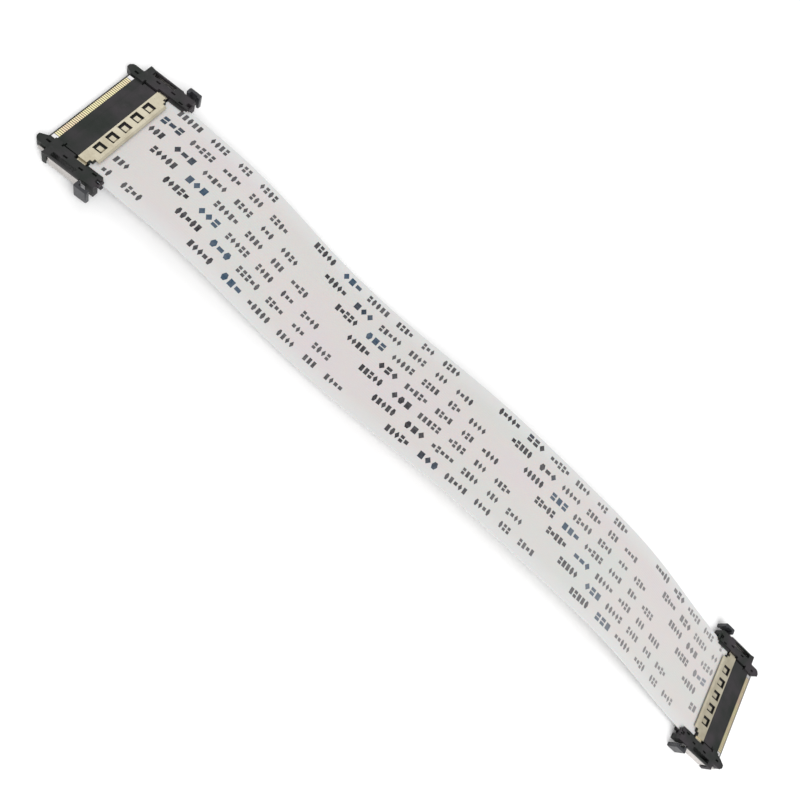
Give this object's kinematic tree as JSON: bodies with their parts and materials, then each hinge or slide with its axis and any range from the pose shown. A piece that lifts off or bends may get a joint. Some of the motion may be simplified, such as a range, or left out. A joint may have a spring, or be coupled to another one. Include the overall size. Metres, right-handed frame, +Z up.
{
  "type": "flat flex cable",
  "caption": "Flat ribbon cable with a metal-topped plug and a pair of squeeze latches on each end, for joining a display panel to its board.",
  "frame": {"origin": "centre of the bounding box at the surface that the cable rests on", "axes": "+X along the cable from the near plug to the far plug, +Y across the cable, +Z up"},
  "size_m": [0.2042, 0.0346, 0.0098],
  "materials": {
    "film": "satin laminate, slightly translucent, with soft grey print marks",
    "insulator": "fine moulded grain",
    "contact_metal": "thin gold plating",
    "pad_metal": "bright tin plating",
    "shell_metal": "satin tin plating over copper alloy",
    "backing_film": "matte blue film",
    "conductor": "bright copper",
    "spring_metal": "rolled spring sheet",
    "button_plastic": "smooth moulding"
  },
  "bodies": {
    "cable": {"cable": "film", "near_housing": "insulator", "near_contacts": "contact_metal", "near_ground_pads": "pad_metal", "near_shell": "shell_metal", "near_stiffener": "backing_film", "near_conductor_ends": "conductor", "far_housing": "insulator", "far_contacts": "contact_metal", "far_ground_pads": "pad_metal", "far_shell": "shell_metal", "far_stiffener": "backing_film", "far_conductor_ends": "conductor"},
    "near_left_lever": {"near_left_latch": "spring_metal", "near_left_button": "button_plastic"},
    "near_right_lever": {"near_right_latch": "spring_metal", "near_right_button": "button_plastic"},
    "far_left_lever": {"far_left_latch": "spring_metal", "far_left_button": "button_plastic"},
    "far_right_lever": {"far_right_latch": "spring_metal", "far_right_button": "button_plastic"}
  },
  "joints": [
    {"name": "near_left_squeeze", "type": "hinge", "parent": "cable", "child": "near_left_lever", "pos_m": [-0.09795, 0.0146, 0.00155], "axis": [0.2164, 0, -0.9763], "range_deg": [0, 3], "stiffness_Nm_per_rad": 0.2},
    {"name": "near_right_squeeze", "type": "hinge", "parent": "cable", "child": "near_right_lever", "pos_m": [-0.09795, -0.0146, 0.00155], "axis": [-0.2164, 0, 0.9763], "range_deg": [0, 3], "stiffness_Nm_per_rad": 0.2},
    {"name": "far_left_squeeze", "type": "hinge", "parent": "cable", "child": "far_left_lever", "pos_m": [0.0981, -0.0146, 0.0012], "axis": [0, 0, -1], "range_deg": [0, 3], "stiffness_Nm_per_rad": 0.2},
    {"name": "far_right_squeeze", "type": "hinge", "parent": "cable", "child": "far_right_lever", "pos_m": [0.0981, 0.0146, 0.0012], "axis": [0, 0, 1], "range_deg": [0, 3], "stiffness_Nm_per_rad": 0.2}
  ]
}
